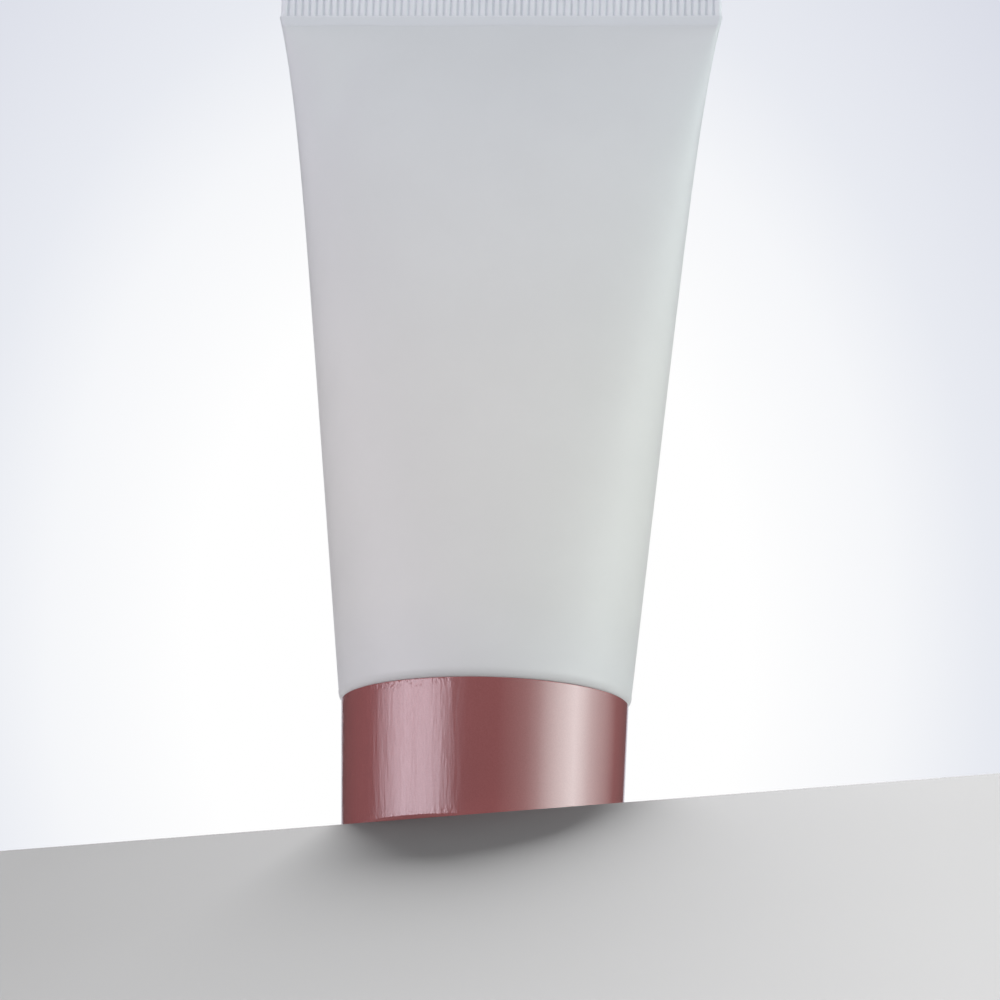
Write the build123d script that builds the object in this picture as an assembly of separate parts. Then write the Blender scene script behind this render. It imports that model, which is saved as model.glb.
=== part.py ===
from build123d import *
import math
import os

# Driving dimensions in millimetres. The tube stands head down on its cap, as it is stored:
# the cap's flat end rests on z = 0, the seal is at the top and x runs across the seal.
tube_diameter = 40.0     # round end of the sleeve, outside
sleeve_wall = 0.5        # thickness of the sleeve
body_length = 95.5       # from the round end of the sleeve up to the foot of the seal
corner_radius = 1.6      # round corner where the sleeve turns in over the shoulder
collar_height = 0.3      # straight ring between that corner and the squeezed body
lip_width = 2.0          # how far the turned-in end reaches in from the sleeve's outside
seal_plain = 1.5         # height of the plain band at the foot of the seal
seal_ribbed = 6.3        # height of the ribbed band, up to the trimmed end
seal_flare = 0.35        # growth of the half-width along the plain band
seal_step = 0.05         # the plain band stands out from the body and the crimp by this
rib_pitch = 1.0          # distance from one crimp groove to the next
rib_depth = 0.2          # depth of a crimp groove
rib_margin = 0.17        # the ribbed band is narrower than the plain one by this on each side

cap_height = 19.0        # from the flat end to the open rim
rim_inset = 0.4          # the rim stands back from the sleeve by this
rim_gap = 0.08           # clearance between the rim's hollow seat and the sleeve's round corner
cap_taper = 0.54         # the flat end is smaller than the rim by this on each side
skirt_wall = 1.3         # thickness of the outer skirt
plate_thickness = 1.6    # thickness of the end plate
foot_radius = 1.0        # rounding round the flat end
rim_radius = 0.08        # rounding of the rim's outer edge
foot_width = 4.0         # width of the ring that the cap stands on
foot_recess = 0.3        # depth of the dished centre inside that ring
socket_wall = 1.3        # thickness of the threaded socket inside the skirt
socket_clearance = 1.5   # room between the socket's end and the shoulder
web_thickness = 0.9      # webs between the socket and the skirt
web_height = 5.0         # their height above the end plate

neck_diameter = 15.0     # neck, without its thread
neck_wall = 1.4          # thickness of the neck
neck_root_radius = 1.0   # rounding between the neck and the shoulder
mouth_radius = 0.5       # rounding round the neck's end
mouth_wall = 1.2         # thickness of the neck's end wall
orifice_diameter = 5.0   # hole that the cream comes out of
shoulder_wall = 1.2      # thickness of the sloping shoulder
shoulder_drop = 3.3      # how far the shoulder slopes towards the neck
thread_room = 1.1        # space between the neck and the socket, for the two threads
liner_thickness = 1.0    # sealing disc on the floor of the socket
liner_clearance = 0.3    # room round the sealing disc
weld_gap = 0.05          # between the head and the sleeve where their round faces meet
cream_gap = 0.15         # between the cream and the walls round it
cream_recess = 0.5       # the cream stays this far inside the orifice
overrun = 0.2            # how far a web runs into the walls that it joins

# Shares and counts
straight_share = 0.875   # part of the widening that is a straight taper
flare_power = 8          # the rest flares out just below the seal
belly_share = 0.3        # how much fuller the faces are than a straight wedge
round_handle_share = (math.sqrt(2) - 1) * 4 / 3  # handles of a quarter curve that is round
flat_handle_share = 0.72   # longer handles at the seal give fuller sides
outside_shares = (0, 0.15, 0.35, 0.55, 0.72, 0.85, 0.94, 1)
cavity_shares = (0, 0.15, 0.35, 0.55, 0.72, 0.85, 0.94, 0.99)
cream_shares = (0, 0.15, 0.35, 0.55, 0.72, 0.85, 0.92)
groove_mouth_share = 0.54  # width of a crimp groove at the surface, of the pitch
groove_floor_share = 0.16  # width at its floor
web_count = 6

# Sizes and levels that follow from them
tube_radius = tube_diameter / 2
flat_half_width = (math.pi * (tube_diameter - sleeve_wall) / 2 + sleeve_wall) / 2
foot_half_width = flat_half_width - seal_flare
seal_half_depth = sleeve_wall
corner_middle = tube_radius - corner_radius
rim_outer_radius = tube_radius - rim_inset
seat_radius = corner_radius + rim_gap
corner_level = cap_height + math.sqrt(seat_radius ** 2 - (rim_outer_radius - corner_middle) ** 2)
lip_level = corner_level - corner_radius
round_level = corner_level + collar_height
seal_level = round_level + body_length
rib_level = seal_level + seal_plain
lip_radius = tube_radius - lip_width
plug_radius = lip_radius - weld_gap
end_outer_radius = rim_outer_radius - cap_taper
neck_radius = neck_diameter / 2
neck_bore_radius = neck_radius - neck_wall
orifice_radius = orifice_diameter / 2
socket_bore_radius = neck_radius + thread_room
socket_outer_radius = socket_bore_radius + socket_wall
mouth_level = plate_thickness + liner_thickness
neck_root_level = lip_level - shoulder_drop
shoulder_slope = shoulder_drop / (plug_radius - neck_radius)
socket_top_level = neck_root_level - socket_clearance


def revolved(points, roundings=()):
    # A turned solid from its half profile (radius, height); each rounding is (corner, radius)
    profile = make_face(Polyline(*points, close=True))
    for corner, radius in roundings:
        vertex = profile.vertices().sort_by_distance((corner[0], corner[1], 0))[0]
        profile = fillet(vertex, radius)
    return revolve(Plane.XZ * profile, Axis.Z)


def body_section(share, inset):
    # Oval section of the squeezed tube at a share of its length, drawn in by the inset:
    # four quarter curves, round at the foot and fuller at the sides towards the seal
    widened = straight_share * share + (1 - straight_share) * share ** flare_power
    wedge = tube_radius * (1 - widened) * (1 + belly_share * widened)
    a = tube_radius + (foot_half_width - tube_radius) * widened - inset
    b = wedge + seal_half_depth * widened - inset
    handle = round_handle_share + (flat_handle_share - round_handle_share) * share
    quarters = []
    for i, j in ((1, 1), (-1, 1), (-1, -1), (1, -1)):
        quarter = [(i * a, 0), (i * a, j * handle * b), (i * handle * a, j * b), (0, j * b)]
        quarters.append(Bezier(*quarter[::i * j]))
    return Pos(0, 0, round_level + body_length * share) * make_face(quarters)


def turned_in(shares, inset, corner, drop):
    # Squeezed body with a straight collar below it and a rounded lower edge
    sections = [body_section(share, inset) for share in shares]
    shape = loft(sections) + extrude(sections[0], drop, dir=(0, 0, -1))
    return fillet(shape.edges().group_by(Axis.Z)[0], corner)


def crimp_edge(half_width, side, shift):
    # One long edge of the ribbed band: flat lands with a narrow groove at every pitch
    count = math.floor(2 * half_width / rib_pitch - 1)
    points = []
    for index in range(count):
        middle = (index - (count - 1) / 2 + shift) * rib_pitch
        mouth = groove_mouth_share * rib_pitch / 2
        floor = groove_floor_share * rib_pitch / 2
        points += [
            (middle - mouth, side * seal_half_depth),
            (middle - floor, side * (seal_half_depth - rib_depth)),
            (middle + floor, side * (seal_half_depth - rib_depth)),
            (middle + mouth, side * seal_half_depth),
        ]
    ends = [(-half_width, side * seal_half_depth), (half_width, side * seal_half_depth)]
    return [ends[0]] + points + [ends[1]]


def make_sleeve():
    # Round end turned in over the shoulder, body squeezed flat, plain band and crimp
    collar = corner_radius + collar_height
    outside = turned_in(outside_shares, 0, corner_radius, collar)
    cavity = turned_in(cavity_shares, sleeve_wall, corner_radius - sleeve_wall, collar - sleeve_wall)
    hole = Pos(0, 0, lip_level) * Cylinder(lip_radius, collar)
    band_foot = foot_half_width + seal_step
    band_front = Polyline(
        (-band_foot, seal_level),
        (band_foot, seal_level),
        (flat_half_width, rib_level),
        (-flat_half_width, rib_level),
        close=True,
    )
    band = extrude(Plane.XZ * make_face(band_front), seal_half_depth + seal_step, both=True)
    rib_half_width = flat_half_width - rib_margin
    front = crimp_edge(rib_half_width, -1, 0)
    back = crimp_edge(rib_half_width, 1, 1 / 2)
    outline = make_face(Polyline(*front, *reversed(back), close=True))
    crimp = extrude(Pos(0, 0, rib_level) * outline, seal_ribbed)
    return outside - cavity - hole + band + crimp


def make_head():
    # Shoulder, neck and end wall in one moulding, seated inside the sleeve's turned-in end
    rim_radius_outside = tube_radius - sleeve_wall - weld_gap
    seat_level = lip_level + sleeve_wall
    bore_top_level = neck_root_level + shoulder_wall - shoulder_slope * neck_wall
    return revolved(
        [
            (orifice_radius, mouth_level),
            (neck_radius, mouth_level),
            (neck_radius, neck_root_level),
            (plug_radius, lip_level),
            (plug_radius, seat_level),
            (rim_radius_outside, seat_level),
            (rim_radius_outside, corner_level),
            (plug_radius, corner_level),
            (neck_bore_radius, bore_top_level),
            (neck_bore_radius, mouth_level + mouth_wall),
            (orifice_radius, mouth_level + mouth_wall),
        ],
        [
            ((neck_radius, mouth_level), mouth_radius),
            ((neck_radius, neck_root_level), neck_root_radius),
            ((rim_radius_outside, seat_level), corner_radius - sleeve_wall - weld_gap),
        ],
    )


def make_cream():
    # Cream up to a little below the seal, down through the shoulder and into the orifice
    inset = sleeve_wall + cream_gap
    body = loft([body_section(share, inset) for share in cream_shares])
    collar = extrude(body_section(0, inset), collar_height - cream_gap, dir=(0, 0, -1))
    top = corner_level + cream_gap
    core_radius = neck_bore_radius - cream_gap
    core_top = top - shoulder_slope * (plug_radius - core_radius)
    nozzle_radius = orifice_radius - cream_gap
    wall_top = mouth_level + mouth_wall + cream_gap
    stem = revolved([
        (0, mouth_level + cream_recess),
        (nozzle_radius, mouth_level + cream_recess),
        (nozzle_radius, wall_top),
        (core_radius, wall_top),
        (core_radius, core_top),
        (plug_radius, top),
        (0, top),
    ])
    return body + collar + stem


def make_cap():
    # Tapered skirt, dished end plate and threaded socket, with webs between socket and skirt;
    # the rim is hollowed, so that the sleeve's round corner sits in it
    skirt_inner_rim = rim_outer_radius - skirt_wall
    skirt_inner_foot = end_outer_radius - skirt_wall
    recess_radius = end_outer_radius - foot_width
    shell = revolved(
        [
            (0, foot_recess),
            (recess_radius - foot_recess, foot_recess),
            (recess_radius, 0),
            (end_outer_radius, 0),
            (rim_outer_radius, cap_height),
            (skirt_inner_rim, cap_height),
            (skirt_inner_foot, plate_thickness),
            (socket_outer_radius, plate_thickness),
            (socket_outer_radius, socket_top_level),
            (socket_bore_radius, socket_top_level),
            (socket_bore_radius, plate_thickness),
            (0, plate_thickness),
        ],
        [((end_outer_radius, 0), foot_radius)],
    )
    seat = extrude(Pos(0, 0, lip_level - rim_gap) * Circle(corner_middle + seat_radius), cap_height)
    shell -= fillet(seat.edges().group_by(Axis.Z)[0], seat_radius)
    shell = fillet(shell.edges().group_by(Axis.Z)[-1], rim_radius)
    inner_radius = socket_outer_radius - overrun
    web_length = skirt_inner_foot + overrun - inner_radius
    web = Pos(inner_radius + web_length / 2, 0, plate_thickness + (web_height - overrun) / 2) * Box(
        web_length, web_thickness, web_height + overrun
    )
    for turn in range(web_count):
        shell += Rot(0, 0, 360 / web_count * turn) * web
    return shell


def make_liner():
    # Sealing disc that the neck's end presses on
    disc = Cylinder(socket_bore_radius - liner_clearance, liner_thickness)
    return Pos(0, 0, plate_thickness + liner_thickness / 2) * disc


pieces = {
    "sleeve": make_sleeve(),
    "head": make_head(),
    "cream_fill": make_cream(),
    "cap": make_cap(),
    "cap_liner": make_liner(),
}

os.makedirs("parts", exist_ok=True)
for name, shape in pieces.items():
    export_step(shape, f"parts/{name}.step")
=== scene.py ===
import math

import bmesh
import bpy
import numpy as np
from mathutils import Matrix, Vector


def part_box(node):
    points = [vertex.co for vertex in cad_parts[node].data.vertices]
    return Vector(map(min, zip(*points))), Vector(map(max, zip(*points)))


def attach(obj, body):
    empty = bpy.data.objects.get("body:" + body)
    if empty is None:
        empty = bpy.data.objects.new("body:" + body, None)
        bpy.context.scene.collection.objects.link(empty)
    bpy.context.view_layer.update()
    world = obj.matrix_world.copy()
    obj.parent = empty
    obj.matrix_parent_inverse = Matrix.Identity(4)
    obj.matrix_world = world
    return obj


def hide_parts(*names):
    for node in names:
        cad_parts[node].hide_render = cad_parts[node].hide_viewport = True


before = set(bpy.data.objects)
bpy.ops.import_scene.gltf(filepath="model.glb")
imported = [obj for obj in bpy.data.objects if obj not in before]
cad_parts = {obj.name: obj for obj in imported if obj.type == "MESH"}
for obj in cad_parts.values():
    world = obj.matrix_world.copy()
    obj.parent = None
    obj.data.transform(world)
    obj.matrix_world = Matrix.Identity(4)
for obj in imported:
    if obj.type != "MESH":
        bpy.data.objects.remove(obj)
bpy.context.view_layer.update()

mm = 0.001
tiny = 1e-9             # metres, for telling equal radii from others
weldDistance = 1e-7     # metres, points closer than this become one
sharpAngle = 40         # degrees, steeper edges stay sharp
noiseSpan = (0.3, 0.7)  # most values of a noise lie between these
print("frame loaded:", ", ".join(sorted(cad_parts)))


# Grid surfaces
def closeSurface(mesh):
    # rows that end in a point or a line are merged, so that the piece is closed, and its faces look outwards
    welded = bmesh.new()
    welded.from_mesh(mesh)
    bmesh.ops.remove_doubles(welded, verts=welded.verts, dist=weldDistance)
    bmesh.ops.dissolve_degenerate(welded, edges=welded.edges, dist=weldDistance)
    bmesh.ops.recalc_face_normals(welded, faces=welded.faces)
    welded.to_mesh(mesh)
    welded.free()


def meshFromGrids(name, grids, pressed=None):
    # each grid is rows x columns of points, closed round its columns; quads join neighbouring rows and columns
    # pressed, where given, says for each point how deep it lies in a crimp groove, from 0 to 1
    points, quads, first = [], [], 0
    for grid in grids:
        rows, columns = grid.shape[:2]
        here = first + np.arange(rows * columns).reshape(rows, columns)
        beside = np.roll(here, -1, axis=1)
        quads.append(np.stack([here[:-1], beside[:-1], beside[1:], here[1:]], axis=-1).reshape(-1, 4))
        points.append(grid.reshape(-1, 3))
        first += rows * columns
    points, quads = np.concatenate(points), np.concatenate(quads)

    mesh = bpy.data.meshes.new(name)
    mesh.vertices.add(len(points))
    mesh.vertices.foreach_set("co", points.astype(np.float32).ravel())
    mesh.loops.add(quads.size)
    mesh.loops.foreach_set("vertex_index", quads.astype(np.int32).ravel())
    mesh.polygons.add(len(quads))
    mesh.polygons.foreach_set("loop_start", np.arange(0, quads.size, 4, dtype=np.int32))
    mesh.update(calc_edges=True)
    if pressed is not None:
        depths = mesh.attributes.new("pressed", "FLOAT", "POINT")
        depths.data.foreach_set("value", pressed.astype(np.float32).ravel())

    closeSurface(mesh)
    mesh.shade_smooth()
    mesh.set_sharp_from_angle(angle=math.radians(sharpAngle))
    piece = bpy.data.objects.new(name, mesh)
    bpy.context.scene.collection.objects.link(piece)
    print("made", name, "with", len(mesh.polygons), "faces")
    return piece


def run(start, end, count, hold=0):
    # straight stretch of a profile, count rows without its end point; hold adds a row that close to each end,
    # which keeps the shading straight up to the bends
    start, end = np.asarray(start, dtype=float), np.asarray(end, dtype=float)
    shares = np.arange(count) / count
    if hold:
        near = hold / np.linalg.norm(end - start)
        shares = np.sort(np.concatenate([shares, [near, 1 - near]]))
    return start + (end - start) * shares[:, None]


def bend(middle, radius, fromAngle, toAngle, count):
    # round stretch of a profile about a middle, angles in degrees, count rows without its end point
    angles = np.radians(fromAngle + (toAngle - fromAngle) * np.arange(count) / count)
    return np.asarray(middle) + radius * np.stack([np.cos(angles), np.sin(angles)], axis=-1)


def smooth(low, high, value):
    # eases from 0 at low to 1 at high
    share = np.clip((value - low) / (high - low), 0, 1)
    return share * share * (3 - 2 * share)


def turned(profile, columns, swell=None):
    # a profile of (radius, height) carried round the z axis; swell gives what is added to the radius at each
    # (angle, height)
    angles = 2 * np.pi * np.arange(columns) / columns
    radius = np.repeat(profile[:, :1], columns, axis=1)
    height = np.repeat(profile[:, 1:], columns, axis=1)
    if swell is not None:
        radius = radius + swell(angles[None, :], height)
    return np.stack([radius * np.cos(angles), radius * np.sin(angles), height], axis=-1)


def helicalRidge(angle, height, thread):
    # ridge of a right-hand screw thread: its middle climbs one pitch a turn, its section is a trapezium with
    # eased flanks, and it fades in and out over the first and last stretch of a turn
    turn = angle / (2 * np.pi)
    turnsHere = (height - thread["start"]) / thread["pitch"] - turn
    nearest = np.round(turnsHere)
    away = np.abs(turnsHere - nearest) * thread["pitch"]
    flank = 1 - smooth(thread["crest"] / 2, thread["root"] / 2, away)
    climbed = nearest + turn
    fadeIn = smooth(0, thread["runOut"], climbed)
    fadeOut = 1 - smooth(thread["turns"] - thread["runOut"], thread["turns"], climbed)
    return thread["depth"] * flank * fadeIn * fadeOut


# Material helpers
def newFinish(name):
    material = bpy.data.materials.new(name)
    material.use_nodes = True
    nodes, links = material.node_tree.nodes, material.node_tree.links
    return material, nodes, links, nodes["Principled BSDF"]


def newGlow(name):
    # plain emission, for what lights the scene or closes it off
    material, nodes, links, shader = newFinish(name)
    nodes.remove(shader)
    glow = nodes.new("ShaderNodeEmission")
    links.new(glow.outputs["Emission"], nodes["Material Output"].inputs["Surface"])
    return material, nodes, links, glow


def objectCoords(nodes):
    return nodes.new("ShaderNodeTexCoord").outputs["Object"]


def wrapCoords(nodes):
    uv = nodes.new("ShaderNodeUVMap")
    uv.uv_map = "wrap"
    return uv.outputs["UV"]


def stretched(nodes, links, vector, scale):
    mapping = nodes.new("ShaderNodeMapping")
    mapping.inputs["Scale"].default_value = scale
    links.new(vector, mapping.inputs["Vector"])
    return mapping.outputs["Vector"]


def noiseNode(nodes, links, vector, grade):
    # grade is the noise's (scale per metre, detail, roughness)
    noise = nodes.new("ShaderNodeTexNoise")
    for socket, value in zip(("Scale", "Detail", "Roughness"), grade):
        noise.inputs[socket].default_value = value
    links.new(vector, noise.inputs["Vector"])
    return noise.outputs["Fac"]


def shareAlong(nodes, links, vector, axis, low, high):
    # where a point lies along one axis: 0 at low, 1 at high, and no further at either end
    split = nodes.new("ShaderNodeSeparateXYZ")
    links.new(vector, split.inputs["Vector"])
    share = nodes.new("ShaderNodeMapRange")
    share.inputs["From Min"].default_value, share.inputs["From Max"].default_value = low, high
    links.new(split.outputs[axis], share.inputs["Value"])
    return share.outputs["Result"]


def ramp(nodes, links, value, stops):
    # stops are (position, colour) pairs; a single number is a grey
    node = nodes.new("ShaderNodeValToRGB")
    while len(node.color_ramp.elements) < len(stops):
        node.color_ramp.elements.new(0.5)
    for element, (position, colour) in zip(node.color_ramp.elements, stops):
        element.position = position
        element.color = (*colour, 1) if isinstance(colour, tuple) else (colour, colour, colour, 1)
    links.new(value, node.inputs["Fac"])
    return node.outputs["Color"]


def blend(nodes, links, value, low, high, span=noiseSpan):
    # from one colour or number to another while the value crosses the span
    return ramp(nodes, links, value, [(span[0], low), (span[1], high)])


def colourProduct(nodes, links, first, second):
    mix = nodes.new("ShaderNodeMix")
    mix.data_type, mix.blend_type = "RGBA", "MULTIPLY"
    mix.inputs["Factor"].default_value = 1
    links.new(first, mix.inputs["A"])
    links.new(second, mix.inputs["B"])
    return mix.outputs["Result"]


def numberProduct(nodes, links, first, second):
    node = nodes.new("ShaderNodeMath")
    node.operation = "MULTIPLY"
    links.new(first, node.inputs[0])
    links.new(second, node.inputs[1])
    return node.outputs["Value"]


def bumpNode(nodes, links, height, distance, strength=1.0, normal=None):
    bump = nodes.new("ShaderNodeBump")
    bump.inputs["Distance"].default_value = distance
    bump.inputs["Strength"].default_value = strength
    links.new(height, bump.inputs["Height"])
    if normal is not None:
        links.new(normal, bump.inputs["Normal"])
    return bump.outputs["Normal"]


def letLightIn(shader, weight, radius, depth):
    # light goes a little way in; radius is its reach in red, green and blue
    shader.inputs["Subsurface Weight"].default_value = weight
    shader.inputs["Subsurface Radius"].default_value = radius
    shader.inputs["Subsurface Scale"].default_value = depth


def dress(piece, material, body, node):
    piece.data.materials.append(material)
    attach(piece, body)
    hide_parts(node)


# Sleeve: round at the foot, squeezed flat at the top, sealed and crimped
sleeveLow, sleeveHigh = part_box("sleeve")
sleeveSettings = {
    "wall": 0.5 * mm,
    "cornerRadius": 1.6 * mm,
    "collar": 0.3 * mm,         # straight stretch above the round corner
    "lipWidth": 2.0 * mm,       # turned in over the shoulder
    # body
    "straightShare": 0.875,     # of the widening, the rest flares out below the seal
    "flarePower": 8,
    "bellyShare": 0.3,
    "roundHandle": (math.sqrt(2) - 1) * 4 / 3,  # makes a cubic quarter round
    "flatHandle": 0.72,
    "stripStart": 0.95,         # share of the height from which the oval eases to a flat strip
    "cavityEnd": 0.99,
    # plain band and ribbed crimp
    "plainBand": 1.5 * mm,
    "ribbedBand": 6.3 * mm,
    "sealFlare": 0.35 * mm,
    "bandStep": 0.05 * mm,      # the band stands out this much from the body and the crimp
    "bandSwell": 1.05,          # of the band's height, over which it widens
    "ribMargin": 0.17 * mm,     # the crimp is narrower than the band at each side
    "ribPitch": 1.0 * mm,
    "ribDepth": 0.2 * mm,
    "grooveMouth": 0.54,        # of the pitch
    "grooveFloor": 0.16,        # of the pitch
    "plainEnd": 0.4,            # of the pitch, no grooves this close to the crimp's two sides
    "widthEase": (-0.1 * mm, 0.45 * mm),  # heights over the rib line between which the width eases in
    "stepEase": 0.12 * mm,
    "grooveEase": 0.1 * mm,
    "trimBevel": (0.02 * mm, 0.03 * mm, 0.06 * mm),  # across, through and up
    "trimInset": 0.2 * mm,      # the line that closes the trimmed end stops this far from the sides
    # shallow hollows of a handled tube, in millimetres
    # face (-1 front, 1 back), both ends (x, z), half width, depth
    "hollows": [
        (-1, (-18.5, 119.0), (-25.0, 88.0), 2.6, 0.34),
        (-1, (24.0, 118.0), (15.0, 92.0), 5.0, 0.12),
        (-1, (-4.0, 60.0), (6.0, 48.0), 8.0, 0.08),
        (1, (21.0, 119.0), (24.0, 88.0), 3.0, 0.28),
        (1, (-17.0, 118.0), (-9.0, 96.0), 5.0, 0.12),
        (1, (5.0, 70.0), (-6.0, 52.0), 9.0, 0.10),
    ],
    "hollowEdge": 3 * mm,       # they fade out this close to the middle plane
    "hollowFoot": 6 * mm,       # and over this height above the round corner
    "hollowTop": (7 * mm, 1 * mm),  # and between these heights below the seal
    # rows and points
    "samplesPerRib": 8,
    "curveSamples": 301,
    "insideCount": 8,
    "outsideCount": 38,
    "bunching": 1.25,           # the outside rows lie closer together where the body flares
    "sealHold": 0.004,          # share of the height, a row that keeps the shading straight up to the band
    "bandRows": (0.07, 0.25, 0.45, 0.62, 0.76, 0.87, 0.95),  # of the band's height
    "footRows": (0, 0.06 * mm, 0.12 * mm, 0.2 * mm, 0.3 * mm, 0.45 * mm),  # above the rib line
    "crimpRows": (0.35, 0.7),   # of the crimp's height
    # colour up the sleeve, as shares of its height, partly painted light: darker towards the foot as painted
    # shade, and cooler towards the seal where it thins out, with the band and crimp lighter and bluer, as
    # painted light coming through the thin plastic
    "heights": [
        (0.03, (0.745, 0.759, 0.760)), (0.12, (0.766, 0.774, 0.760)), (0.25, (0.772, 0.778, 0.760)),
        (0.42, (0.762, 0.771, 0.758)), (0.60, (0.744, 0.764, 0.768)), (0.80, (0.719, 0.750, 0.772)),
        (0.925, (0.706, 0.740, 0.766)), (0.928, (0.716, 0.755, 0.796)), (0.939, (0.716, 0.755, 0.796)),
        (0.942, (0.800, 0.838, 0.888)),
    ],
    "grooveShade": (0.86, 0.87, 0.885),  # painted shade: the crimp's grooves are darker and cooler
    "pressedSpan": (0.1, 0.9),
    "clouds": (60, 4, 0.6),
    "cloudShade": 0.97,
    "gloss": (160, 3, 0.5),
    "roughness": (0.43, 0.50),
    "grain": (1500, 2, 0.5),
    "grainDepth": 0.012 * mm,
    "grainStrength": 0.35,
    "ior": 1.5,
}
cornerLevel = sleeveLow.z + sleeveSettings["cornerRadius"]
bodyLevel = cornerLevel + sleeveSettings["collar"]
ribLevel = sleeveHigh.z - sleeveSettings["ribbedBand"]
sealLevel = ribLevel - sleeveSettings["plainBand"]
sealHalf = sleeveHigh.x - sleeveSettings["sealFlare"]   # half the body's width where the seal begins


def bodyRows(settings, share, inset):
    # oval rows up the body: the widening is a straight taper plus a late flare, and the depth is a wedge with a
    # slight belly that ends as thick as the wall
    radius, wall, straight = sleeveHigh.y, settings["wall"], settings["straightShare"]
    widened = straight * share + (1 - straight) * share ** settings["flarePower"]
    width = radius + (sealHalf - radius) * widened
    depth = radius * (1 - widened) * (1 + settings["bellyShare"] * widened) + wall * widened
    height = bodyLevel + (sealLevel - bodyLevel) * share
    handle = settings["roundHandle"] + (settings["flatHandle"] - settings["roundHandle"]) * share
    strip = smooth(settings["stripStart"], 1, share)
    return np.stack([width - inset, depth - inset, height, handle, strip, 0 * share], axis=-1)


def lipRows(settings):
    # circular rows: round the inner corner, along the lip turned in over the shoulder, round the outer corner
    radius, lipLevel = sleeveHigh.y, sleeveLow.z
    wall, corner = settings["wall"], settings["cornerRadius"]
    lipRadius, middle = radius - settings["lipWidth"], radius - corner
    rings, heights = np.concatenate([
        bend((middle, cornerLevel), corner - wall, 0, -90, 6),
        run((middle, lipLevel + wall), (lipRadius, lipLevel + wall), 1),
        run((lipRadius, lipLevel + wall), (lipRadius, lipLevel), 2),
        run((lipRadius, lipLevel), (middle, lipLevel), 2),
        bend((middle, cornerLevel), corner, -90, 0, 14),
        run((radius, cornerLevel), (radius, bodyLevel), 2),
    ]).T
    handle = np.full_like(rings, settings["roundHandle"])
    return np.stack([rings, rings, heights, handle, 0 * rings, 0 * rings], axis=-1)


def sealRows(settings):
    # flat rows: the plain band swells to the full width at the rib line, the crimp above is a little narrower,
    # and the trimmed end is bevelled and closed along a line
    flatHalf, topLevel = sleeveHigh.x, sleeveHigh.z
    half, step = settings["wall"], settings["bandStep"]
    ribHalf = flatHalf - settings["ribMargin"]
    bevelAcross, bevelThrough, bevelUp = settings["trimBevel"]
    below = settings["plainBand"] * np.array(settings["bandRows"])
    above = np.array(settings["footRows"])
    swell = smooth(0, settings["plainBand"] * settings["bandSwell"], below)
    band = np.stack([
        sealHalf + step + (flatHalf - sealHalf - step) * swell,
        half + step + 0 * below,
        sealLevel + below,
        0 * below,
    ], axis=-1)
    foot = np.stack([
        flatHalf + (ribHalf - flatHalf) * smooth(*settings["widthEase"], above),
        half + step * (1 - smooth(0, settings["stepEase"], above)),
        ribLevel + above,
        smooth(0, settings["grooveEase"], above),
    ], axis=-1)
    crimp = [(ribHalf, half, ribLevel + settings["ribbedBand"] * share, 1) for share in settings["crimpRows"]]
    trim = [
        (ribHalf, half, topLevel - bevelUp, 1),
        (ribHalf - bevelAcross, half - bevelThrough, topLevel, 1),
        (ribHalf - settings["trimInset"], 0, topLevel, 0),
    ]
    width, depth, height, rib = np.concatenate([band, foot, crimp, trim]).T
    handle = np.full_like(width, settings["flatHandle"])
    return np.stack([width, depth, height, handle, np.ones_like(width), rib], axis=-1)


def sleeveRows(settings):
    # every row as (half width, half depth, height, handle, strip share, rib share), from the end of the cavity
    # down the inside, round the lip, up the outside and over the seal
    downInside = np.linspace(settings["cavityEnd"], 0, settings["insideCount"])
    inside = bodyRows(settings, downInside, settings["wall"])
    cavityLine = inside[:1] * np.array([1, 0, 1, 1, 1, 1])  # the first row without depth closes the cavity
    shares = 1 - (1 - np.linspace(0, 1, settings["outsideCount"])) ** settings["bunching"]
    outside = bodyRows(settings, np.concatenate([shares[:-1], [1 - settings["sealHold"], 1]]), 0)
    return np.concatenate([cavityLine, inside, lipRows(settings), outside, sealRows(settings)])


def quarterOval(t, handle):
    # quarter of an oval with half sizes 1, a cubic curve from (0, 1) to (1, 0) whose handles reach that far
    across = 3 * (1 - t) ** 2 * t * handle + 3 * (1 - t) * t ** 2 + t ** 3
    through = (1 - t) ** 3 + 3 * (1 - t) ** 2 * t + 3 * (1 - t) * t ** 2 * handle
    return across, through


def evenSteps(width, depth, handle, shares, samples):
    # the curve's own parameter at even shares of its length, for all rows
    t = np.linspace(0, 1, samples)[None, :]
    across, through = quarterOval(t, handle)
    steps = np.hypot(np.diff(width * across, axis=1), np.diff(depth * through, axis=1))
    length = np.pad(np.cumsum(steps, axis=1), ((0, 0), (1, 0)))
    length /= length[:, -1:]
    apart = 2 * np.arange(len(length))[:, None]  # keeps the rows apart, so one interpolation serves them all
    known = np.repeat(t, len(length), axis=0)
    even = np.interp((shares + apart).ravel(), (length + apart).ravel(), known.ravel())
    return even.reshape(len(length), -1)


def hollowDepth(settings, x, y, z):
    # each hollow is a bell of the distance to its line, on its own face, and fades at the edges and both ends
    topFade, topEnd = settings["hollowTop"]
    onBody = smooth(0, settings["hollowFoot"], z - cornerLevel)
    onBody = onBody * (1 - smooth(-topFade, -topEnd, z - sealLevel))
    depth = np.zeros(x.shape)
    for face, (startX, startZ), (endX, endZ), width, deep in settings["hollows"]:
        alongX, alongZ = endX - startX, endZ - startZ
        fromX, fromZ = x / mm - startX, z / mm - startZ
        share = np.clip((fromX * alongX + fromZ * alongZ) / (alongX ** 2 + alongZ ** 2), 0, 1)
        away = np.hypot(fromX - share * alongX, fromZ - share * alongZ)
        onFace = smooth(0, settings["hollowEdge"], face * y)
        depth += deep * mm * np.exp(-(away / width) ** 2) * onFace
    return depth * onBody


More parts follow.
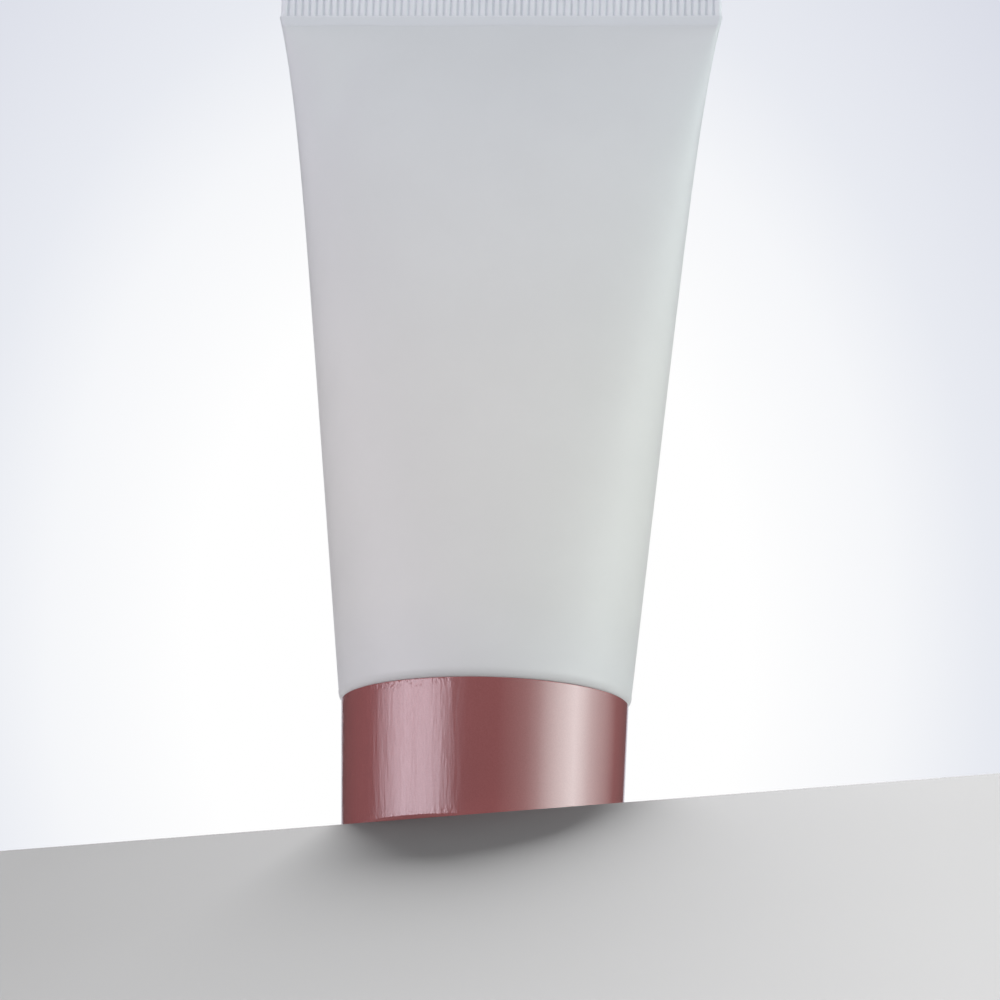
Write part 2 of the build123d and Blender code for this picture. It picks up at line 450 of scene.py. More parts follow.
def sleeveGrid(settings):
    # a row is a quarter curve mirrored to all four sides: an oval with points spaced evenly along it, easing to
    # a flat strip with round ends at the seal; grooves press into the strip's two faces
    width, depth, height, handle, strip, rib = [value[:, None] for value in sleeveRows(settings).T]
    quarter = round(sleeveHigh.x / settings["ribPitch"] * settings["samplesPerRib"])
    shares = np.linspace(0, 1, quarter + 1)[None, :]
    across, through = quarterOval(evenSteps(width, depth, handle, shares, settings["curveSamples"]), handle)
    ovalX, ovalY = width * across, depth * through
    stripX = width * shares
    ending = np.clip((stripX - (width - depth)) / np.maximum(depth, tiny), 0, 1)
    stripY = depth * np.sqrt(1 - ending ** 2)
    x = ovalX + (stripX - ovalX) * strip
    y = ovalY + (stripY - ovalY) * strip

    # the loop runs from the middle of the front round by the right side, the back and the left side
    order = np.concatenate([np.arange(quarter), np.arange(quarter, 0, -1)] * 2)
    sideX = np.repeat([1, -1], 2 * quarter)
    sideY = np.repeat([-1, 1, 1, -1], quarter)
    x, y = x[:, order] * sideX, y[:, order] * sideY
    z = np.repeat(height, x.shape[1], axis=1)
    pitch = settings["ribPitch"]
    phase = x / pitch + np.where(sideY > 0, 0.5, 0)  # the back's grooves lie between the front's
    away = np.abs(phase - np.round(phase))
    groove = 1 - smooth(settings["grooveFloor"] / 2, settings["grooveMouth"] / 2, away)
    groove = groove * rib * (np.abs(x) < width - settings["plainEnd"] * pitch)
    y = y - sideY * settings["ribDepth"] * groove
    y = y - sideY * hollowDepth(settings, x, y, z)
    return np.stack([x, y, z], axis=-1), groove


def sleeveFinish(settings):
    # satin polyethylene: a slow change of colour up the tube that is partly painted light, faint clouds in
    # colour and gloss, painted shade in the crimp's grooves, leathery grain
    material, nodes, links, shader = newFinish("satinSleeve")
    coords = objectCoords(nodes)
    upTube = shareAlong(nodes, links, coords, "Z", sleeveLow.z, sleeveHigh.z)
    # painted light up the tube: painted shade at the foot, painted light through the thin seal, band and crimp
    colour = ramp(nodes, links, upTube, settings["heights"])
    clouds = noiseNode(nodes, links, coords, settings["clouds"])
    colour = colourProduct(nodes, links, colour, blend(nodes, links, clouds, settings["cloudShade"], 1.0))
    # painted shade: the colour is darker and cooler down in the crimp's grooves
    pressed = nodes.new("ShaderNodeAttribute")
    pressed.attribute_name = "pressed"
    grooves = blend(nodes, links, pressed.outputs["Fac"], 1.0, settings["grooveShade"], settings["pressedSpan"])
    links.new(colourProduct(nodes, links, colour, grooves), shader.inputs["Base Color"])
    gloss = noiseNode(nodes, links, coords, settings["gloss"])
    links.new(blend(nodes, links, gloss, *settings["roughness"]), shader.inputs["Roughness"])
    grain = noiseNode(nodes, links, coords, settings["grain"])
    grained = bumpNode(nodes, links, grain, settings["grainDepth"], settings["grainStrength"])
    links.new(grained, shader.inputs["Normal"])
    shader.inputs["IOR"].default_value = settings["ior"]
    return material


sleevePoints, sleevePressed = sleeveGrid(sleeveSettings)
sleeve = meshFromGrids("sleeveSkin", [sleevePoints], sleevePressed)
dress(sleeve, sleeveFinish(sleeveSettings), "tube", "sleeve")


# Head: shoulder, neck and end wall, with the outer thread
headLow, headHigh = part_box("head")
screwThread = {
    "pitch": 3.0 * mm,
    "depth": 0.8 * mm,
    "crest": 0.6 * mm,
    "root": 1.7 * mm,
    "runOut": 0.12,             # of a turn
}
headSettings = {
    "neckRadius": 7.5 * mm,
    "neckWall": 1.4 * mm,
    "orificeRadius": 2.5 * mm,
    "orificeRound": 0.15 * mm,
    "mouthWall": 1.2 * mm,
    "mouthRound": 0.5 * mm,
    "rootRound": 1.0 * mm,
    "shoulderDrop": 3.3 * mm,
    "shoulderWall": 1.2 * mm,
    "plugRadius": 17.95 * mm,
    "cornerRound": 1.05 * mm,
    "thread": {**screwThread, "start": 5.2 * mm, "turns": 2.4},
    "threadRows": 110,
    "columns": 256,
    "pale": (0.80, 0.80, 0.79),
    "dull": (0.76, 0.765, 0.76),
    "clouds": (120, 3, 0.5),
    "roughness": (0.36, 0.46),
    "grain": (2200, 2, 0.5),
    "grainDepth": 0.01 * mm,
    "grainStrength": 0.3,
    "lightIn": (0.2, (1.0, 0.95, 0.85), 1.0 * mm),  # weight, radius, depth
}


def headGrid(settings):
    # profile from the orifice round the mouth, up the neck, out along the shoulder and back along the inside
    mouth, lipLevel, topLevel = headLow.z, sleeveLow.z, headHigh.z
    neck, plug, rim = settings["neckRadius"], settings["plugRadius"], headHigh.x
    orifice, edge = settings["orificeRadius"], settings["orificeRound"]
    mouthRound, corner, fillet = settings["mouthRound"], settings["cornerRound"], settings["rootRound"]
    bore = neck - settings["neckWall"]
    seat = lipLevel + sleeveSettings["wall"]
    rootLevel = lipLevel - settings["shoulderDrop"]
    slope = settings["shoulderDrop"] / (plug - neck)
    rise = math.atan(slope)
    leg = fillet * math.tan((math.pi / 2 - rise) / 2)  # from the corner to where the fillet starts
    wallTop = mouth + settings["mouthWall"]
    boreTop = rootLevel + settings["shoulderWall"] - slope * settings["neckWall"]
    filletEnd = (neck + leg * math.cos(rise), rootLevel + leg * math.sin(rise))
    profile = np.concatenate([
        run((orifice, wallTop), (orifice, mouth + edge), 4),
        bend((orifice + edge, mouth + edge), edge, 180, 270, 4),
        run((orifice + edge, mouth), (neck - mouthRound, mouth), 6),
        bend((neck - mouthRound, mouth + mouthRound), mouthRound, -90, 0, 6),
        run((neck, mouth + mouthRound), (neck, rootLevel - leg), settings["threadRows"]),
        bend((neck + fillet, rootLevel - leg), fillet, 180, 90 + math.degrees(rise), 8),
        run(filletEnd, (plug, lipLevel), 10),
        run((plug, lipLevel), (plug, seat), 2),
        run((plug, seat), (rim - corner, seat), 2),
        bend((rim - corner, seat + corner), corner, -90, 0, 6),
        run((rim, seat + corner), (rim, topLevel), 1),
        run((rim, topLevel), (plug, topLevel), 2),
        run((plug, topLevel), (bore, boreTop), 8),
        run((bore, boreTop), (bore, wallTop), 6),
        run((bore, wallTop), (orifice, wallTop), 3),
        [(orifice, wallTop)],
    ])
    onNeck = (np.abs(profile[:, :1] - neck) < tiny) & (profile[:, 1:] < rootLevel)
    thread = settings["thread"]
    return turned(profile, settings["columns"], lambda angle, z: helicalRidge(angle, z, thread) * onNeck)


def headFinish(settings):
    # natural white moulded plastic, a little translucent, with faint flow clouds
    material, nodes, links, shader = newFinish("naturalHead")
    coords = objectCoords(nodes)
    clouds = noiseNode(nodes, links, coords, settings["clouds"])
    links.new(blend(nodes, links, clouds, settings["pale"], settings["dull"]), shader.inputs["Base Color"])
    links.new(blend(nodes, links, clouds, *settings["roughness"]), shader.inputs["Roughness"])
    grain = noiseNode(nodes, links, coords, settings["grain"])
    grained = bumpNode(nodes, links, grain, settings["grainDepth"], settings["grainStrength"])
    links.new(grained, shader.inputs["Normal"])
    letLightIn(shader, *settings["lightIn"])
    return material


head = meshFromGrids("headMoulding", [headGrid(headSettings)])
dress(head, headFinish(headSettings), "tube", "head")


# Cap: one moulding of skirt, dished end, threaded socket and webs
capLow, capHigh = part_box("cap")
capSettings = {
    "height": 19.0 * mm,
    "rimRadius": 19.6 * mm,
    "endRadius": 19.06 * mm,
    "skirtWall": 1.3 * mm,
    "plate": 1.6 * mm,
    "footRound": 0.7 * mm,
    "rimRound": 0.08 * mm,
    "rimGap": 0.08 * mm,        # between the rim's seat and the sleeve
    "innerRound": 0.2 * mm,
    "floorRound": 0.6 * mm,
    "footWidth": 4.0 * mm,
    "recess": 0.3 * mm,
    "socketBore": 8.6 * mm,
    "socketWall": 1.3 * mm,
    "socketClearance": 1.5 * mm,
    "thread": {
        **screwThread,
        # half a pitch off the neck's thread, so that the two lie between each other
        "start": headSettings["thread"]["start"] - screwThread["pitch"] / 2,
        "turns": 3.0,
    },
    "threadRows": 100,
    "hold": 0.02 * mm,          # extra rows this close to the bends
    "columns": 384,
    "webs": 6,
    "webThickness": 0.9 * mm,
    "webHeight": 5.0 * mm,
    "webPowers": (0.3, 0.12),   # the smaller, the squarer the web's section, across and upright
    "webColumns": 32,
    "rose": (0.345, 0.1035, 0.1025),
    "deep": (0.314, 0.0895, 0.0895),
    "flakes": (5200, 2, 0.7),
    "flakeSpan": (0.35, 0.65),
    "marks": (1500, 1500, 190),         # upright flow marks, per metre
    "markNoise": (1, 2, 0.5),
    "markDepth": 0.043 * mm,
    "gateSide": (3 * mm, -3 * mm),      # from here to there marks and ripples come up, towards the gate's side
    "ripples": (2300, 2300, 1300),      # short ones along both edges, per metre
    "rippleNoise": (1, 1, 0.5),
    "rippleDepth": 0.05 * mm,
    "rippleWidth": 1.5 * mm,
    "rippleFull": 0.3,                  # of that width, next to the rim
    "roughness": 0.40,
    "coatRoughness": 0.04,
    "coatIor": 1.5,
}


def capGrid(settings):
    # profile from the middle of the dished end, out over the foot ring, up the skirt, over the hollow rim, down
    # inside, across the plate, over the socket, down its bore and back to the middle
    height, rim, end = settings["height"], settings["rimRadius"], settings["endRadius"]
    foot, edge = settings["footRound"], settings["rimRound"]
    inner, corner = settings["innerRound"], settings["floorRound"]
    recess, plate, hold = settings["recess"], settings["plate"], settings["hold"]
    lean = math.atan((rim - end) / height)
    leanDegrees = math.degrees(lean)
    outwards = np.array([math.cos(lean), -math.sin(lean)])
    upwards = np.array([math.sin(lean), math.cos(lean)])
    recessRadius = end - settings["footWidth"]
    footMiddle = np.array([end + foot * math.tan(lean) - foot / math.cos(lean), foot])

    # the rim's seat is the sleeve's round corner, grown by the gap; a small round joins it to the skirt
    cornerRadius = sleeveSettings["cornerRadius"]
    seatRadius = cornerRadius + settings["rimGap"]
    seatMiddle = np.array([sleeveHigh.y - cornerRadius, cornerLevel])
    seatLevel = sleeveLow.z - settings["rimGap"]
    beside = np.array([rim, height]) - edge * outwards - seatMiddle
    lift = beside @ upwards
    drop = -lift - math.sqrt(lift ** 2 - beside @ beside + (seatRadius + edge) ** 2)
    edgeMiddle = seatMiddle + beside + drop * upwards
    toSeat = seatMiddle - edgeMiddle
    edgeTurn = math.degrees(math.atan2(toSeat[1], toSeat[0]))

    footIn = end - settings["skirtWall"]
    rimIn = rim - settings["skirtWall"] - (height - seatLevel) * math.tan(lean)
    bore = settings["socketBore"]
    socket = bore + settings["socketWall"]
    socketTop = sleeveLow.z - headSettings["shoulderDrop"] - settings["socketClearance"]
    profile = np.concatenate([
        run((0, recess), (recessRadius - recess, recess), 6),
        run((recessRadius - recess, recess), (recessRadius, 0), 3),
        run((recessRadius, 0), (footMiddle[0], 0), 3),
        bend(footMiddle, foot, -90, -leanDegrees, 12),
        run(footMiddle + foot * outwards, edgeMiddle + edge * outwards, 16, hold),
        bend(edgeMiddle, edge, -leanDegrees, edgeTurn, 8),
        bend(seatMiddle, seatRadius, edgeTurn - 180, -90, 8),
        run((seatMiddle[0], seatLevel), (rimIn, seatLevel), 1),
        run((rimIn, seatLevel), (footIn + corner * math.tan(lean), plate + corner), 8, hold),
        bend((footIn - corner, plate + corner), corner, 0, -90, 6),
        run((footIn - corner, plate), (socket + corner, plate), 4, hold),
        bend((socket + corner, plate + corner), corner, -90, -180, 6),
        run((socket, plate + corner), (socket, socketTop - inner), 6, hold),
        bend((socket - inner, socketTop - inner), inner, 0, 90, 4),
        run((socket - inner, socketTop), (bore + inner, socketTop), 2),
        bend((bore + inner, socketTop - inner), inner, 90, 180, 4),
        run((bore, socketTop - inner), (bore, plate), settings["threadRows"]),
        run((bore, plate), (0, plate), 6),
        [(0, plate)],
    ])
    inBore = (np.abs(profile[:, :1] - bore) < tiny) & (profile[:, 1:] < socketTop - inner)
    thread = settings["thread"]
    return turned(profile, settings["columns"], lambda angle, z: -helicalRidge(angle, z, thread) * inBore)


def squared(wave, power):
    # pushes a sine or cosine out towards a square wave
    return np.sign(wave) * np.abs(wave) ** power


def webGrids(settings):
    # each web is a rounded upright section carried outwards from the socket to the skirt, closed at both ends
    start = settings["socketBore"] + settings["socketWall"] / 2
    end = settings["endRadius"] - settings["skirtWall"] / 2
    low, high = settings["plate"] / 2, settings["plate"] + settings["webHeight"]
    across, upright = settings["webPowers"]
    loop = 2 * np.pi * np.arange(settings["webColumns"]) / settings["webColumns"]
    reach = np.array([start, start, (start + end) / 2, end, end])[:, None]
    size = np.array([0, 1, 1, 1, 0])[:, None]
    side = squared(np.cos(loop), across) * settings["webThickness"] / 2 * size
    level = (low + high) / 2 + squared(np.sin(loop), upright) * (high - low) / 2 * size
    return [np.stack([
        reach * np.cos(turn) - side * np.sin(turn),
        reach * np.sin(turn) + side * np.cos(turn),
        level,
    ], axis=-1) for turn in 2 * np.pi * np.arange(settings["webs"]) / settings["webs"]]


def capFinish(settings):
    # pearl gloss moulding: fine flakes in the colour, a clear top layer, upright flow marks in the skin and a
    # band of short ripples along both edges
    material, nodes, links, shader = newFinish("pearlCap")
    coords = objectCoords(nodes)
    flakes = noiseNode(nodes, links, coords, settings["flakes"])
    colour = blend(nodes, links, flakes, settings["deep"], settings["rose"], settings["flakeSpan"])
    links.new(colour, shader.inputs["Base Color"])

    gateSide = shareAlong(nodes, links, coords, "X", *settings["gateSide"])
    upright = stretched(nodes, links, coords, settings["marks"])
    marks = noiseNode(nodes, links, upright, settings["markNoise"])
    marked = bumpNode(nodes, links, numberProduct(nodes, links, marks, gateSide), settings["markDepth"])

    band, foot = settings["rippleWidth"] / capHigh.z, settings["footRound"] / capHigh.z
    nearEdge = ramp(nodes, links, shareAlong(nodes, links, coords, "Z", capLow.z, capHigh.z), [
        (foot, 1.0), (foot + band, 0.0), (1 - band, 0.0), (1 - band * settings["rippleFull"], 1.0),
    ])
    short = stretched(nodes, links, coords, settings["ripples"])
    ripples = noiseNode(nodes, links, short, settings["rippleNoise"])
    swing = nodes.new("ShaderNodeMapRange")  # ripples swing to both sides of the skin
    swing.inputs["To Min"].default_value, swing.inputs["To Max"].default_value = -0.5, 0.5
    links.new(ripples, swing.inputs["Value"])
    ripples = numberProduct(nodes, links, swing.outputs["Result"], nearEdge)
    ripples = numberProduct(nodes, links, ripples, gateSide)
    rippled = bumpNode(nodes, links, ripples, settings["rippleDepth"], normal=marked)
    links.new(rippled, shader.inputs["Normal"])
    links.new(rippled, shader.inputs["Coat Normal"])
    shader.inputs["Roughness"].default_value = settings["roughness"]
    shader.inputs["Coat Weight"].default_value = 1.0
    shader.inputs["Coat Roughness"].default_value = settings["coatRoughness"]
    shader.inputs["Coat IOR"].default_value = settings["coatIor"]
    return material


cap = meshFromGrids("capMoulding", [capGrid(capSettings)] + webGrids(capSettings))
dress(cap, capFinish(capSettings), "cap", "cap")


# Sealing disc in the socket, with the ring that the neck's end has pressed into it
linerLow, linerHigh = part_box("cap_liner")
linerSettings = {
    "edge": 0.15 * mm,
    "printDepth": 0.06 * mm,
    "printWidth": 1.6 * mm,     # to each side of the ring's middle
    "printFade": 1.6,           # of that width, where the ring has eased out
    "faceRows": 40,
    "columns": 128,
    "cellScale": 3800,
    "cellSpan": (0.1, 0.6),
    "cellMiddle": (0.74, 0.735, 0.72),
    "cellWall": (0.82, 0.815, 0.80),
    "cellDepth": 0.03 * mm,
    "cellStrength": 0.4,
    "roughness": 0.62,
}


def linerGrid(settings):
    # a disc whose upper face dips in a soft ring under the neck's wall
    radius, low, high = linerHigh.x, linerLow.z, linerHigh.z
    edge, width = settings["edge"], settings["printWidth"]
    across = np.linspace(radius - edge, 0, settings["faceRows"])
    middle = (headSettings["neckRadius"] + headSettings["orificeRadius"]) / 2
    ring = 1 - smooth(width, width * settings["printFade"], np.abs(across - middle))
    profile = np.concatenate([
        run((0, low), (radius - edge, low), 4),
        bend((radius - edge, low + edge), edge, -90, 0, 4),
        run((radius, low + edge), (radius, high - edge), 2),
        bend((radius - edge, high - edge), edge, 0, 90, 4),
        np.stack([across, high - settings["printDepth"] * ring], axis=-1),
    ])
    return turned(profile, settings["columns"])


def linerFinish(settings):
    # pressed white foam: small closed cells
    material, nodes, links, shader = newFinish("foamLiner")
    cells = nodes.new("ShaderNodeTexVoronoi")
    cells.inputs["Scale"].default_value = settings["cellScale"]
    links.new(objectCoords(nodes), cells.inputs["Vector"])
    away = cells.outputs["Distance"]
    colour = blend(nodes, links, away, settings["cellMiddle"], settings["cellWall"], settings["cellSpan"])
    links.new(colour, shader.inputs["Base Color"])
    raised = bumpNode(nodes, links, away, settings["cellDepth"], settings["cellStrength"])
    links.new(raised, shader.inputs["Normal"])
    shader.inputs["Roughness"].default_value = settings["roughness"]
    return material


liner = meshFromGrids("sealingDisc", [linerGrid(linerSettings)])
dress(liner, linerFinish(linerSettings), "liner", "cap_liner")


# Cream: the CAD solid stays, it only shows in the orifice
creamSettings = {
    "shade": (0.86, 0.84, 0.78),
    "light": (0.90, 0.885, 0.83),
    "swirl": (420, 3, 0.5),
    "swirlDepth": 0.12 * mm,
    "swirlStrength": 0.4,
    "roughness": 0.28,
    "lightIn": (0.25, (1.0, 0.85, 0.6), 1.5 * mm),  # weight, radius, depth
}


def creamFinish(settings):
    material, nodes, links, shader = newFinish("softCream")
    swirl = noiseNode(nodes, links, objectCoords(nodes), settings["swirl"])
    links.new(blend(nodes, links, swirl, settings["shade"], settings["light"]), shader.inputs["Base Color"])
    swirled = bumpNode(nodes, links, swirl, settings["swirlDepth"], settings["swirlStrength"])
    links.new(swirled, shader.inputs["Normal"])
    shader.inputs["Roughness"].default_value = settings["roughness"]
    letLightIn(shader, *settings["lightIn"])
    return material


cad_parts["cream_fill"].data.materials[0] = creamFinish(creamSettings)
print("object dressed")


# Camera: it looks up at the tube from below the shelf's level, turned a little to the right
cameraSettings = {
    "distance": 0.660,
    "drop": -0.1076,
    "aside": 0.00144,
    "yaw": 4.08,                # degrees
    "pitch": 13.23,
    "roll": 1.28,
    "lens": 177.26,
    "sensor": 36,
    "clip": (0.01, 20),
}


def placeCamera(settings):
    data = bpy.data.cameras.new("camera")
    data.lens, data.sensor_width = settings["lens"], settings["sensor"]
    data.clip_start, data.clip_end = settings["clip"]
    camera = bpy.data.objects.new("camera", data)
    turn = Matrix.Rotation(math.radians(settings["yaw"]), 4, "Z")
    place = Matrix.Translation((settings["aside"], -settings["distance"], settings["drop"]))
    tilt = Matrix.Rotation(math.radians(90 + settings["pitch"]), 4, "X")
    roll = Matrix.Rotation(math.radians(settings["roll"]), 4, "Z")
    camera.matrix_world = turn @ place @ tilt @ roll
    bpy.context.scene.collection.objects.link(camera)
    bpy.context.scene.camera = camera
    return camera


camera = placeCamera(cameraSettings)


# Stage: a shelf whose front edge runs just before the cap, pale on top and painted darker on its front as
# painted shade, curved light panels and a backdrop with a painted glow
def stageObject(name, grid, material):
    # an open grid of points, for what isn't part of the object; its wrap coordinates run from 0 to 1 both ways
    rows, columns = grid.shape[:2]
    index = np.arange(rows * columns).reshape(rows, columns)
    quads = np.stack([index[:-1, :-1], index[:-1, 1:], index[1:, 1:], index[1:, :-1]], axis=-1).reshape(-1, 4)
    mesh = bpy.data.meshes.new(name)
    mesh.from_pydata(grid.reshape(-1, 3).tolist(), [], quads.tolist())
    mesh.shade_smooth()
    wrap = mesh.uv_layers.new(name="wrap")
    u, v = np.meshgrid(np.linspace(0, 1, columns), np.linspace(0, 1, rows))
    corners = np.stack([u, v], axis=-1).reshape(-1, 2)[quads.ravel()]
    wrap.data.foreach_set("uv", corners.astype(np.float32).ravel())
    mesh.materials.append(material)
    item = bpy.data.objects.new(name, mesh)
    bpy.context.scene.collection.objects.link(item)
    return item


shelfSettings = {
    "edgeDistance": 19.5 * mm,  # from the tube's axis to the shelf's front edge
    "edgeTurn": 31.0,           # degrees, the right end of the edge comes forward
    "edgeRound": 0.25 * mm,
    "slope": 18.0,              # degrees, the shelf's front falls away towards the camera
    "reach": 2.0,
    "topPaintedLight": (0.80, 0.82),   # left and right of the tube, lighter to the right as painted light
    # painted shade: the front is far darker than the top, so it goes dark wherever its own lamp is blocked; it
    # is also lighter to the right as painted light
    "frontPaintedShade": (0.099, 0.163),
    "shadeReach": 0.06,
    "gloss": (6, 2, 0.5),
    "roughness": (0.65, 0.75),
}


def shelfGrids(settings):
    # level top, then a small round edge and a falling front, both carried along the edge's direction
    turn = math.radians(cameraSettings["yaw"] - settings["edgeTurn"])
    outwards = np.array([math.sin(turn), -math.cos(turn), 0])
    sideways = np.array([math.cos(turn), math.sin(turn), 0])
    upwards = np.array([0, 0, 1])
    rounding, reach, fall = settings["edgeRound"], settings["reach"], math.radians(settings["slope"])
    start = settings["edgeDistance"] - rounding * math.tan(fall / 2)
    roundEnd = np.array([start + rounding * math.sin(fall), -rounding + rounding * math.cos(fall)])
    top = np.array([(-reach, 0), (start, 0)])
    front = np.concatenate([
        bend((start, -rounding), rounding, 90, 90 - settings["slope"], 8),
        [roundEnd, roundEnd + reach * np.array([math.cos(fall), -math.sin(fall)])],
    ])
    along = np.linspace(-reach, reach, 5)[None, :, None] * sideways
    return [
        profile[:, None, :1] * outwards + profile[:, None, 1:] * upwards + along
        for profile in (top, front)
    ]


def shelfFinish(name, settings, paintedShades):
    # matt, pale on top, a slow change of shade from left to right as painted light, and faint clouds in the
    # gloss
    material, nodes, links, shader = newFinish(name)
    coords = objectCoords(nodes)
    across = shareAlong(nodes, links, coords, "X", -settings["shadeReach"], settings["shadeReach"])
    links.new(blend(nodes, links, across, *paintedShades, (0, 1)), shader.inputs["Base Color"])
    gloss = noiseNode(nodes, links, coords, settings["gloss"])
    links.new(blend(nodes, links, gloss, *settings["roughness"]), shader.inputs["Roughness"])
    return material


topGrid, frontGrid = shelfGrids(shelfSettings)
topFinish = shelfFinish("paleTop", shelfSettings, shelfSettings["topPaintedLight"])
# the front's finish is a darker copy of the top's, painted shade
frontFinish = shelfFinish("paintedShadeFront", shelfSettings, shelfSettings["frontPaintedShade"])
stageObject("shelfTop", topGrid, topFinish)
shelfFront = stageObject("shelfFront", frontGrid, frontFinish)


panelSettings = {
    "radius": 1.0,              # from the tube's axis
    "rows": 4,
    "columns": 48,
    "fade": [(0, 0.0), (0.3, 1.0), (0.78, 1.0), (1, 0.0)],  # up each panel
    "bars": (42, 0.6, 1),       # upright streaks in a panel's light
    "barNoise": (1, 2, 0.6),
    "barSpan": (0.32, 0.62),
    # glow is the light across a panel as (degrees from the camera's side, radiance), the right side is positive
    "panels": {
        "leftPanel": {
            "low": 0.01, "high": 0.225, "tint": (0.98, 0.89, 1.0), "streaks": 0.3,
            "glow": [
                (-100, 0), (-90, 1.8), (-81, 4.2), (-71, 7.2), (-52, 8.0),
                (-43, 7.4), (-35, 5.7), (-28, 2.3), (-22, 0.7), (-14, 0),
            ],
        },
        "rightPanel": {
            "low": 0.06, "high": 0.21, "tint": (0.93, 1.0, 0.985), "streaks": 0,
            "glow": [
                (9, 0), (26, 0.8), (34, 1.35), (43, 2.8), (51, 5.2), (60, 7.4), (70, 9.2),
                (77, 10.0), (85, 7.4), (94, 4.1), (104, 2.3), (113, 1.3), (122, 0.5), (131, 0),
            ],
        },
        "rightSide": {
            "low": 0.26, "high": 0.62, "tint": (0.97, 1.0, 0.985), "streaks": 0,
            "glow": [(38, 0), (62, 1.6), (85, 2.5), (112, 2.4), (140, 0)],
        },
        "frontFill": {
            "low": 0.45, "high": 1.2, "tint": (1.0, 1.0, 1.0), "streaks": 0,
            "glow": [(-45, 0), (-25, 1.6), (25, 1.6), (45, 0)],
        },
        "backFill": {
            "low": 0.45, "high": 1.2, "tint": (1.0, 1.0, 1.0), "streaks": 0,
            "glow": [(130, 0), (155, 2.4), (205, 2.4), (230, 0)],
        },
    },
}


def panelGrid(settings, panel):
    # part of an upright cylinder round the tube
    radius, first, last = settings["radius"], panel["glow"][0][0], panel["glow"][-1][0]
    angles = np.radians(np.linspace(first, last, settings["columns"]) + cameraSettings["yaw"])
    heights = np.linspace(panel["low"], panel["high"], settings["rows"])
    angles, heights = np.meshgrid(angles, heights)
    return np.stack([radius * np.sin(angles), -radius * np.cos(angles), heights], axis=-1)


def panelFinish(name, settings, panel):
    # emission that follows the panel's glow across it and fades at its lower and upper edges; streaks is how
    # much upright bars vary it
    material, nodes, links, glow = newGlow(name)
    first, last = panel["glow"][0][0], panel["glow"][-1][0]
    peak = max(level for angle, level in panel["glow"])
    stops = [
        ((angle - first) / (last - first), tuple(level / peak * tint for tint in panel["tint"]))
        for angle, level in panel["glow"]
    ]
    coords = wrapCoords(nodes)
    across = ramp(nodes, links, shareAlong(nodes, links, coords, "X", 0, 1), stops)
    upwards = ramp(nodes, links, shareAlong(nodes, links, coords, "Y", 0, 1), settings["fade"])
    shade = colourProduct(nodes, links, across, upwards)
    if panel["streaks"]:
        bars = noiseNode(nodes, links, stretched(nodes, links, coords, settings["bars"]), settings["barNoise"])
        bars = blend(nodes, links, bars, 1 - panel["streaks"], 1.0, settings["barSpan"])
        shade = colourProduct(nodes, links, shade, bars)
    links.new(shade, glow.inputs["Color"])
    glow.inputs["Strength"].default_value = peak
    return material


for name, panel in panelSettings["panels"].items():
    item = stageObject(name, panelGrid(panelSettings, panel), panelFinish(name + "Glow", panelSettings, panel))
    item.visible_camera = False


backdropSettings = {
    "distance": 1.7,            # from the camera
    "stretch": (1, 0.75, 1),    # of the white middle, then its shift, in shares of the sheet
    "shift": (-0.485, -0.3225, 0),
    "rings": [                  # painted glow: white in the middle, paling to lavender blue at the edges
        (0.14, (1.0, 1.0, 1.0)), (0.21, (0.92, 0.93, 0.955)),
        (0.26, (0.81, 0.83, 0.885)), (0.36, (0.70, 0.72, 0.80)),
    ],
}


def backdropGrid(settings, camera):
    # a flat sheet square to the camera, twice as wide as what it sees
    half = settings["distance"] * cameraSettings["sensor"] / cameraSettings["lens"]
    x, y = np.meshgrid(np.linspace(-half, half, 3), np.linspace(-half, half, 3))
    flat = np.stack([x, y, np.full_like(x, -settings["distance"])], axis=-1)
    place = np.array(camera.matrix_world)
    return flat @ place[:3, :3].T + place[:3, 3]


def backdropFinish(settings):
    # painted glow: rings of colour by the distance from the sheet's middle
    material, nodes, links, glow = newGlow("paintedGlowBackdrop")
    middle = nodes.new("ShaderNodeMapping")
    middle.inputs["Location"].default_value = settings["shift"]
    middle.inputs["Scale"].default_value = settings["stretch"]
    links.new(wrapCoords(nodes), middle.inputs["Vector"])
    away = nodes.new("ShaderNodeVectorMath")
    away.operation = "LENGTH"
    links.new(middle.outputs["Vector"], away.inputs[0])
    links.new(ramp(nodes, links, away.outputs["Value"], settings["rings"]), glow.inputs["Color"])
    return material


backdrop = stageObject("backdrop", backdropGrid(backdropSettings, camera), backdropFinish(backdropSettings))
backdrop.visible_diffuse = False


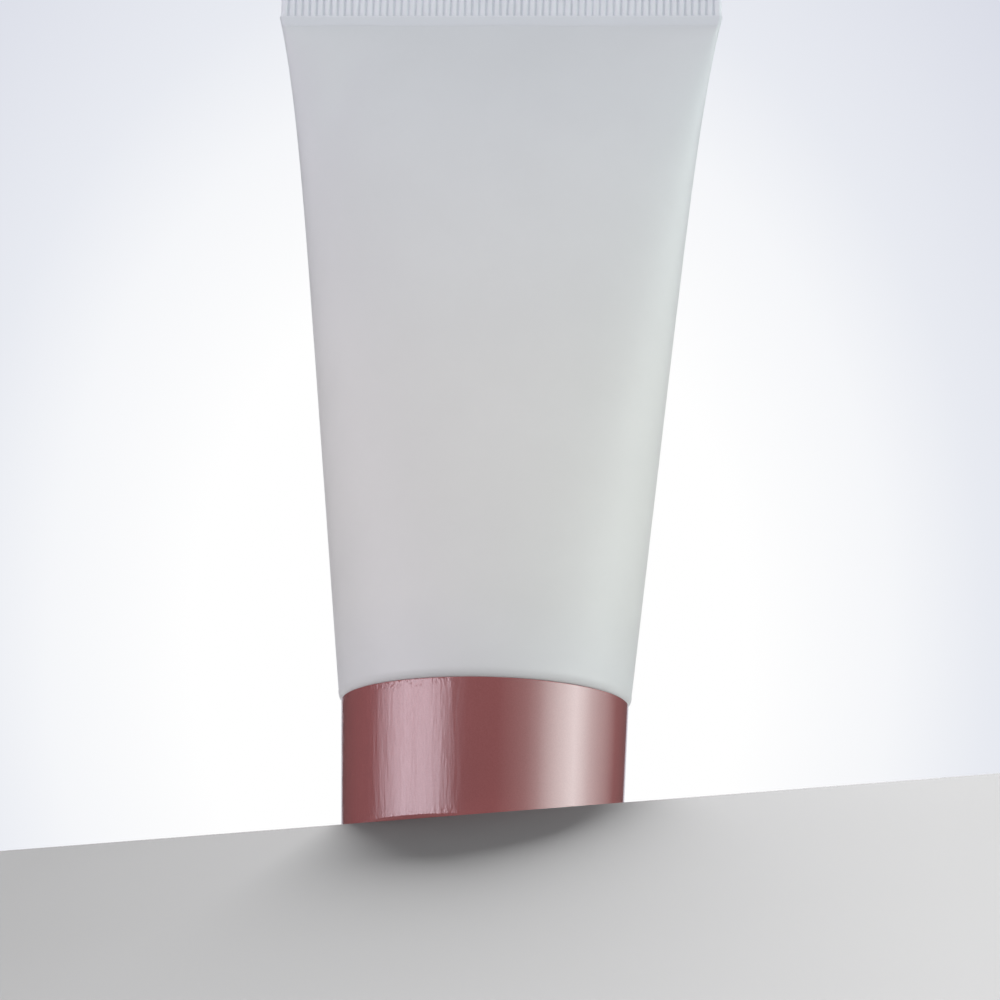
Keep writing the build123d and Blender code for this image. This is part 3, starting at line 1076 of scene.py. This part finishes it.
lowLightSettings = {
    "climb": 25.0,              # degrees above the shelf
    "side": -5.0,               # degrees off straight behind
    "angle": 20.0,              # degrees, its width
    "strength": 62,
}


def lowLight(settings, receiver, blocker):
    # low soft light from behind that falls on the shelf's front alone; only the cap stands in its way, which
    # draws the contact shadow
    lamp = bpy.data.lights.new("lowLight", "SUN")
    lamp.angle = math.radians(settings["angle"])
    lamp.energy = settings["strength"]
    item = bpy.data.objects.new("lowLight", lamp)
    climb, side = math.radians(settings["climb"]), math.radians(settings["side"])
    towards = Vector((math.sin(side), math.cos(side), math.tan(climb)))
    item.rotation_euler = towards.to_track_quat("Z", "Y").to_euler()
    bpy.context.scene.collection.objects.link(item)
    lit, shading = [bpy.data.collections.new("lowLight " + use) for use in ("lights", "is blocked by")]
    lit.objects.link(receiver)
    shading.objects.link(blocker)
    item.light_linking.receiver_collection = lit
    item.light_linking.blocker_collection = shading
    item.visible_glossy = False


lowLight(lowLightSettings, shelfFront, cap)


worldSettings = {
    "ambient": (0.52, 0.52, 0.525),     # even fill for the light
    "reflected": (0.05, 0.05, 0.05),    # a dim room for reflections
    "seen": (0.90, 0.91, 0.95),         # pale past the backdrop
}


def backgroundNode(nodes, colour):
    background = nodes.new("ShaderNodeBackground")
    background.inputs["Color"].default_value = (*colour, 1)
    return background.outputs["Background"]


def paleWorld(settings):
    world = bpy.data.worlds.new("studio")
    bpy.context.scene.world = world
    world.use_nodes = True
    nodes, links = world.node_tree.nodes, world.node_tree.links
    nodes.clear()
    paths = nodes.new("ShaderNodeLightPath")
    shade = backgroundNode(nodes, settings["ambient"])
    for use, ray in (("reflected", "Is Glossy Ray"), ("seen", "Is Camera Ray")):
        mix = nodes.new("ShaderNodeMixShader")
        links.new(paths.outputs[ray], mix.inputs["Fac"])
        links.new(shade, mix.inputs[1])
        links.new(backgroundNode(nodes, settings[use]), mix.inputs[2])
        shade = mix.outputs["Shader"]
    links.new(shade, nodes.new("ShaderNodeOutputWorld").inputs["Surface"])


paleWorld(worldSettings)
bpy.context.scene.view_settings.view_transform = "Standard"
print("stage, lights and camera set")
